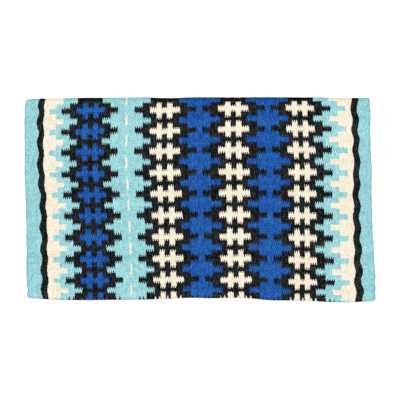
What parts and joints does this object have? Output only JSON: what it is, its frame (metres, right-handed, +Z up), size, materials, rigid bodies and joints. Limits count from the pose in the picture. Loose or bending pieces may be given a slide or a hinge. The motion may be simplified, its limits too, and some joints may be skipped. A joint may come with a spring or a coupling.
{
  "type": "saddle blanket",
  "caption": "Woven wool saddle blanket, folded once across its middle, with rolled side borders and stepped bands of colour with inlaid double crosses.",
  "frame": {"origin": "centre of the folded blanket's footprint, on the surface that it lies on", "axes": "+X along the fold, +Y towards the fold, +Z up through the two layers"},
  "size_m": [0.8654, 0.5054, 0.015],
  "materials": {
    "wool_turquoise": "matt hand-spun wool",
    "wool_black": "matt hand-spun wool",
    "wool_royal": "matt hand-spun wool",
    "wool_cream": "matt hand-spun wool"
  },
  "bodies": {
    "under_layer": {"under_border_left": "wool_turquoise", "under_field": "wool_black", "under_border_right": "wool_turquoise", "fold_border_left": "wool_turquoise", "fold_field": "wool_black", "fold_border_right": "wool_turquoise"},
    "top_layer": {"top_border_left": "wool_turquoise", "top_stripe_left": "wool_black", "top_cream_left": "wool_cream", "top_turquoise_left": "wool_turquoise", "top_lattice_1": "wool_black", "top_turquoise_middle": "wool_turquoise", "top_lattice_2": "wool_black", "top_royal_1": "wool_royal", "top_lattice_3": "wool_black", "top_royal_2": "wool_royal", "top_lattice_4": "wool_black", "top_turquoise_right": "wool_turquoise", "top_cream_right": "wool_cream", "top_stripe_right": "wool_black", "top_border_right": "wool_turquoise", "top_cross_1_1": "wool_royal", "top_cross_1_2": "wool_royal", "top_cross_1_3": "wool_royal", "top_cross_1_4": "wool_royal", "top_cross_1_5": "wool_royal", "top_cross_1_6": "wool_royal", "top_cross_1_7": "wool_royal", "top_cross_1_8": "wool_royal", "top_cross_1_9": "wool_royal", "top_cross_2_1": "wool_cream", "top_cross_2_2": "wool_cream", "top_cross_2_3": "wool_cream", "top_cross_2_4": "wool_cream", "top_cross_2_5": "wool_cream", "top_cross_2_6": "wool_cream", "top_cross_2_7": "wool_cream", "top_cross_2_8": "wool_cream", "top_cross_2_9": "wool_cream", "top_cross_3_1": "wool_cream", "top_cross_3_2": "wool_cream", "top_cross_3_3": "wool_cream", "top_cross_3_4": "wool_cream", "top_cross_3_5": "wool_cream", "top_cross_3_6": "wool_cream", "top_cross_3_7": "wool_cream", "top_cross_3_8": "wool_cream", "top_cross_3_9": "wool_cream", "top_cross_4_1": "wool_cream", "top_cross_4_2": "wool_cream", "top_cross_4_3": "wool_cream", "top_cross_4_4": "wool_cream", "top_cross_4_5": "wool_cream", "top_cross_4_6": "wool_cream", "top_cross_4_7": "wool_cream", "top_cross_4_8": "wool_cream", "top_cross_4_9": "wool_cream"}
  },
  "joints": [
    {"name": "unfold", "type": "hinge", "parent": "under_layer", "child": "top_layer", "pos_m": [0, 0.24525, 0.0075], "axis": [-1, 0, 0], "range_deg": [0, 180], "deforming": ["fold_border_left", "fold_field", "fold_border_right"]}
  ]
}
